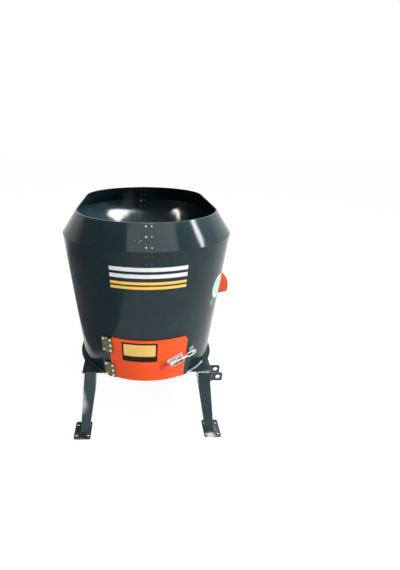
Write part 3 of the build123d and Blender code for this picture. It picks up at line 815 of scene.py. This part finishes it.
def knife_outline():
    """Points (x, z) from the wall at the bottom round the tip to the wall at the top."""
    bottom, top = [(tub_radius(z) + axis_x + knife_wall_gap, z) for z in (knife_low.z, knife_high.z)]
    outline = [bottom]
    corner_x = knife_edge_x(knife_low.z + knife_corner) - knife_corner
    for step in range(corner_steps + 1):
        angle = math.pi / 2 * step / corner_steps
        rise = knife_corner * (1 - math.cos(angle))
        outline.append((corner_x + knife_corner * math.sin(angle), knife_low.z + rise))
    for step in range(1, edge_steps + 1):
        share = math.sin(math.pi / 2 * step / edge_steps)
        z = between(knife_low.z + knife_corner, knife_high.z, share)
        outline.append((knife_edge_x(z), z))
    return outline + [top]


def make_counter_knife():
    outline = knife_outline()
    centre_x = sum(x for x, z in outline) / len(outline)
    centre_z = sum(z for x, z in outline) / len(outline)
    rings = []
    for y, share in (
        (knife_low.y, knife_bevel_share), (knife_low.y + knife_bevel, 1.0),
        (knife_high.y - knife_bevel, 1.0), (knife_high.y, knife_bevel_share),
    ):
        rings.append([
            Vector((between(centre_x, x, share), y, between(centre_z, z, share))) for x, z in outline
        ])
    knife = lofted("counter_knife_plate", rings, paint_knife, "counter_knife_blade")
    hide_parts("counter_knife")


make_counter_knife()

# Splined input shaft with a groove for the drive's lock

shaft_low, shaft_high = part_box("pto_shaft")
shaft_y, shaft_z = (shaft_low.y + shaft_high.y) / 2, (shaft_low.z + shaft_high.z) / 2
spline_tip, spline_root = 17.45 * MM, 14.9 * MM
spline_count = 6
tooth_turn = 360 / spline_count
land_half, flank = 14.5, 1.5
tooth_tip = (-land_half, 0, land_half)
tooth_root = (land_half + flank, tooth_turn / 2, tooth_turn - land_half - flank)
boss_gap, end_chamfer = 2 * MM, 2.5 * MM
groove_start, groove_end, groove_slope = 34 * MM, 43 * MM, 2 * MM


def shaft_point(x, radius, angle):
    return Vector((x, shaft_y + radius * math.sin(angle), shaft_z + radius * math.cos(angle)))


def spline_ring(x, out):
    ring = []
    for tooth in range(spline_count):
        for turns, radius in ((tooth_tip, out), (tooth_root, min(out, spline_root))):
            ring += [shaft_point(x, radius, math.radians(tooth * tooth_turn + turn)) for turn in turns]
    return ring


def make_input_spline():
    boss_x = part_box("gearbox")[1].x
    end_x = shaft_high.x
    sections = (
        (shaft_low.x, spline_root), (boss_x, spline_root),
        (boss_x + boss_gap, spline_root), (boss_x + boss_gap, spline_tip),
        (end_x - groove_end, spline_tip), (end_x - groove_end + groove_slope, spline_root),
        (end_x - groove_start - groove_slope, spline_root), (end_x - groove_start, spline_tip),
        (end_x - end_chamfer, spline_tip), (end_x, spline_root),
    )
    rings = [spline_ring(x, out) for x, out in sections]
    shaft = lofted("input_spline", rings, machined, "pto_input", 30.0)
    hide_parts("pto_shaft")


make_input_spline()

# Gearbox flange bolts, seen from below

gearbox_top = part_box("gearbox")[1].z
flange_thickness = 12 * MM
bolt_circle = 114 * MM
flange_bolt_count = 8
downwards = Matrix.Rotation(math.pi, 4, "X")
flange_bolts = []
for angle in circle(flange_bolt_count, math.pi / flange_bolt_count):
    spot = Vector((axis_x, auger_y, gearbox_top - flange_thickness))
    spot += Vector((math.cos(angle), math.sin(angle), 0)) * bolt_circle
    flange_bolts.append(Matrix.Translation(spot) @ downwards)
bolt_set("gearbox_bolts", flange_bolts, zinc_bright, "frame", 8 * MM, 7 * MM, seed=21)

# The rolled rim of the drive stub's guard

guard_low, guard_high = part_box("pto_guard")
rim_bead = 2.6 * MM
rim_bead_radius = (guard_high.z - guard_low.z) / 2 - rim_bead
rim_points = [shaft_point(guard_high.x - rim_bead, rim_bead_radius, angle) for angle in circle(48)]
bead("guard_rim", [rim_points + rim_points[:1]], rim_bead, guard_black, ripple=0.0, rough=0.0)

# Welds of the lower hitch ears, the top link ears and the mast plate

plate_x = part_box("hitch_plate")[1].x
mast_low, mast_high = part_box("mast_plate")
mast_out = 8.3 * MM


def mast_x(z):
    return axis_x + tub_radius(z) + mast_out


def hitch_ear_welds():
    out, end_gap = 1 * MM, 3 * MM
    lines = []
    for number in range(1, 5):
        ear_low, ear_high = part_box(f"hitch_ear_{number}")
        heights = (ear_low.z + end_gap, ear_high.z - end_gap)
        lines += [[(plate_x + out, y, z) for z in heights] for y in (ear_low.y, ear_high.y)]
    bead("hitch_ear_welds", lines, 2.8 * MM, weld_paint, seed=31)


def top_ear_welds():
    out, end_gap = 0.8 * MM, 4 * MM
    lines = []
    for side in ("front", "rear"):
        ear_low, ear_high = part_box(f"top_link_ear_{side}")
        heights = (ear_low.z + end_gap, ear_high.z - end_gap)
        lines += [[(mast_x(z) + out, y, z) for z in heights] for y in (ear_low.y, ear_high.y)]
    bead("top_ear_welds", lines, 3.0 * MM, weld_paint, seed=32)


def mast_plate_welds():
    depth, weld_share = 6.5 * MM, 0.12
    lines = []
    for y in (mast_low.y, mast_high.y):
        for start in (0.04, 0.3, 0.56, 0.82):
            heights = [between(mast_low.z, mast_high.z, share) for share in (start, start + weld_share)]
            lines.append([(mast_x(z) - depth, y, z) for z in heights])
    bead("mast_plate_welds", lines, 2.6 * MM, weld_paint, seed=33)


hitch_ear_welds()
top_ear_welds()
mast_plate_welds()

# Two bolts on each of the auger's knives


def knife_places(node_name, inside, aside):
    """Two spots on a plate's largest upward face, set inwards and to both sides from its centre."""
    mesh = nodes[node_name].data
    face = max(mesh.polygons, key=lambda polygon: polygon.area if polygon.normal.z > 0.5 else 0)
    normal = face.normal.copy()
    spots = [mesh.vertices[v].co for v in face.vertices]
    centre = sum(spots, Vector()) / len(spots)
    centre_out = centre - Vector((axis_x, auger_y, centre.z))
    inward = -(centre_out - normal * centre_out.dot(normal)).normalized()
    across = normal.cross(inward)
    return [
        place_from(inward, across, normal, centre + inward * inside + across * side)
        for side in (aside, -aside)
    ]


for number in range(1, 5):
    places = knife_places(f"auger_knife_{number}", 16 * MM, 20 * MM)
    bolt_set(f"auger_knife_{number}_bolts", places, bolt_bright, "auger", 7.5 * MM, 6 * MM,
             seed=40 + number)

# Nuts inside the tub behind the straps, dark painted, and one of them bright metal as a painted glint

nut_depth = strap_top + 6.4 * MM
glint_nut = rear_bolts[2 * bright_rows]
for nut_name, chosen, finish in (
    ("strap_nuts", [place for place in rear_bolts + front_bolts if place is not glint_nut], bolt_dark),
    ("strap_nut_painted_glint", [glint_nut], bolt_bright),
):
    inner = [place @ lifted(-nut_depth) @ downwards for place in chosen]
    bolt_set(nut_name, inner, finish, "frame", 4.4 * MM, 3.6 * MM, seed=50)

# Small chips in the paint beside the front strap: azimuth, height and radius

chip_spots = (
    (-4.9, 1262, 1.9), (-5.5, 1258, 1.5), (-6.2, 1251, 1.2), (-3.6, 1243, 2.0), (-8.4, 1262, 1.2),
    (-3.2, 1226, 1.3), (-9.6, 1236, 1.1), (9.5, 1224, 1.2), (5.2, 1228, 1.0), (-7.4, 1240, 1.0),
)
chip_out, chip_thickness = 0.1 * MM, 0.25 * MM
chips = bmesh.new()
chip_order = random.Random(60)
for az, z, size in chip_spots:
    profile = [(0, 0), (size * MM, 0), (size * 0.7 * MM, chip_thickness), (0, chip_thickness)]
    lathe(chips, wall_place(az, z * MM, chip_out), profile, 7, chip_order.uniform(0, 1))
add_piece("paint_chips", finish_mesh("paint_chips", chips), mark_white, "frame")

# Studio


def mix_surface(tree, factor, first, second, output):
    """Mixes two shaders by a factor, 0 being the first, into an output node's surface."""
    chosen = add_node(tree, "MixShader", Fac=factor)
    tree.links.new(first.outputs[0], chosen.inputs[1])
    tree.links.new(second.outputs[0], chosen.inputs[2])
    tree.links.new(chosen.outputs[0], tree.nodes[output].inputs["Surface"])


def mirror_rays(tree):
    """1 for a ray off glossy metal or through glass, and the light path's node."""
    path = add_node(tree, "LightPath")
    mirrored = math_node(tree, "MAXIMUM", path.outputs["Is Glossy Ray"], path.outputs["Is Transmission Ray"])
    return mirrored, path


def make_world():
    """White to the camera; gloss and glass see that white near the floor and a soft sky above it."""
    world = bpy.data.worlds.new("studio")
    world.use_nodes = True
    bpy.context.scene.world = world
    tree = world.node_tree
    sky = tree.nodes["Background"]
    split = add_node(tree, "SeparateXYZ")
    tree.links.new(add_node(tree, "TexCoord").outputs["Generated"], split.inputs[0])
    feed(tree, sky.inputs["Color"], ramp(tree, split.outputs["X"], 0.0, 0.8, 0.28, 0.64))
    white = add_node(tree, "Background", Color=(1, 1, 1))
    mirrored, path = mirror_rays(tree)
    mirrored = math_node(tree, "MULTIPLY", mirrored, ramp(tree, split.outputs["Z"], 0.3, 0.42, 1.0, 0.0))
    whitened = math_node(tree, "MAXIMUM", path.outputs["Is Camera Ray"], mirrored)
    mix_surface(tree, whitened, sky, white, "World Output")


def studio_sheet(name, low, high, z, color):
    """A flat matt sheet between two corners, with its material's tree and shader."""
    work = bmesh.new()
    corners = ((low[0], low[1], z), (high[0], low[1], z), (high[0], high[1], z), (low[0], high[1], z))
    work.faces.new([work.verts.new(corner) for corner in corners])
    mesh = bpy.data.meshes.new(name)
    work.to_mesh(mesh)
    work.free()
    sheet = bpy.data.objects.new(name, mesh)
    bpy.context.scene.collection.objects.link(sheet)
    material, tree, shader = new_material(name + "_sheet")
    feed(tree, shader.inputs["Base Color"], color)
    shader.inputs["Roughness"].default_value = 0.9
    mesh.materials.append(material)
    return sheet, tree, shader


floor_half = 30
floor_glow_share = 0.86
floor_glow = 1.1


def make_floor():
    """A pale floor that keeps the shadow; the camera, gloss and glass see it nearly white."""
    floor, tree, shader = studio_sheet(
        "floor", (-floor_half, -floor_half), (floor_half, floor_half), 0, (0.86, 0.86, 0.86))
    shader.inputs["Specular IOR Level"].default_value = 0.1
    glow = add_node(tree, "Emission", Strength=floor_glow)
    mirrored, path = mirror_rays(tree)
    seen = math_node(tree, "MAXIMUM", path.outputs["Is Camera Ray"], mirrored)
    mix_surface(tree, math_node(tree, "MULTIPLY", seen, floor_glow_share), shader, glow, "Material Output")


flag_low, flag_high, flag_z = (-4.8, -3.2), (-0.95, 3.4), 2 * MM
flag_centre, flag_reach = (-1.8, 0.1, 0), (3.0, 3.3, 1)


def make_flag():
    """A dark card on the floor at the left, seen only in reflections, which fades to white outwards."""
    flag, tree, shader = studio_sheet("flag", flag_low, flag_high, flag_z, (0.22, 0.23, 0.23))
    spread = add_node(
        tree, "Mapping", vector_type="TEXTURE", Vector=object_place(tree), Location=flag_centre,
        Scale=flag_reach)
    distance = math_node(tree, "LENGTH", spread.outputs["Vector"], kind="VectorMath")
    fade = ramp(tree, distance, 0.55, 1.0, 0.0, 1.0)
    mix_surface(tree, fade, shader, add_node(tree, "Emission"), "Material Output")
    flag.visible_camera = flag.visible_diffuse = flag.visible_shadow = False


def make_camera():
    """The photograph's own view: at about eye height, a little left of the middle, looking down."""
    image_height = 570.0
    focal_pixels = 376.2
    right_pixels, up_pixels = 54.2, 15.0
    left, ahead, height = 65 * MM, 2272 * MM, 1748 * MM
    pitch, yaw, roll = 0.419, 0.028, 0.003
    data = bpy.data.cameras.new("camera")
    camera = bpy.data.objects.new("camera", data)
    bpy.context.scene.collection.objects.link(camera)
    data.sensor_fit = "VERTICAL"
    data.sensor_width = data.sensor_height = 36.0
    data.lens = focal_pixels / image_height * data.sensor_height
    data.shift_x = right_pixels / image_height
    data.shift_y = up_pixels / image_height
    data.clip_start, data.clip_end = 0.05, 100.0
    turn = Matrix.Rotation(-yaw, 4, "Z") @ Matrix.Rotation(math.pi / 2 - pitch, 4, "X")
    turn = turn @ Matrix.Rotation(roll, 4, "Z")
    place = Vector((axis_x - left, front_y - ahead, height))
    camera.matrix_world = Matrix.Translation(place) @ turn
    bpy.context.scene.camera = camera


def studio_spot(right, back, up):
    """A point in metres from the front half circle's centre."""
    return Vector((axis_x + right, front_y + back, up))


def area_lamp(name, place, target, size, power, color=(1, 1, 1), diffuse=True, glossy=True):
    data = bpy.data.lights.new(name, "AREA")
    data.shape = "RECTANGLE"
    data.size, data.size_y = size
    data.energy = power
    data.color = color
    lamp = bpy.data.objects.new(name, data)
    bpy.context.scene.collection.objects.link(lamp)
    lamp.location = place
    lamp.visible_camera = False
    lamp.visible_diffuse = diffuse
    lamp.visible_glossy = glossy
    lamp.rotation_mode = "QUATERNION"
    lamp.rotation_quaternion = (target - place).to_track_quat("-Z", "Y")


glint_share = 0.3


def near_glint(name, place, spot, size, power, color=(1, 1, 1)):
    """A lamp seen only in gloss on the inside wall, too near the mouth for outer faces to mirror it."""
    near = spot + (place - spot) * glint_share
    near_size = [length * glint_share for length in size]
    area_lamp(name, near, spot, near_size, power * glint_share ** 2, color, diffuse=False)


def make_lamps():
    tub_middle = studio_spot(0, 0.2, 0.9)
    area_lamp("window", studio_spot(2.4, -0.35, 3.45), tub_middle, (0.36, 1.6), 56)
    area_lamp("front", studio_spot(2.6, -3.9, 1.7), tub_middle, (2.0, 1.8), 90)
    area_lamp("side", studio_spot(3.6, 0.4, 1.3), tub_middle, (2.0, 1.6), 54, diffuse=False)
    area_lamp("top", studio_spot(0.8, 0.6, 4.6), tub_middle, (3.0, 3.0), 70)
    area_lamp("sky", studio_spot(0.25, -1.7, 3.25), studio_spot(0.1, -0.45, 1.28), (2.7, 1.3), 28)


def make_inside_lamps():
    """White and warm reflections on the wall inside, and a soft light round the white one."""
    far_wall = belt_straight + belt_radius
    white_spot = studio_spot(-0.28, far_wall - 0.09, 1.2)
    warm_spot = studio_spot(0.2, far_wall - 0.07, 1.17)
    white_place = studio_spot(0.77, 0.5, 2.45)
    near_glint("white_glint", white_place, white_spot, (0.36, 1.1), 70)
    area_lamp("inside_wash", white_place, white_spot, (0.77, 0.72), 84, glossy=False)
    for right, color in ((-0.88, (1.0, 0.86, 0.66)), (-0.77, (1.0, 0.97, 0.92))):
        near_glint("warm_glint", studio_spot(right, 0.5, 2.54), warm_spot, (0.05, 1.1), 13, color)


make_world()
make_floor()
make_flag()
make_camera()
make_lamps()
make_inside_lamps()
bpy.context.scene.view_settings.view_transform = "Standard"
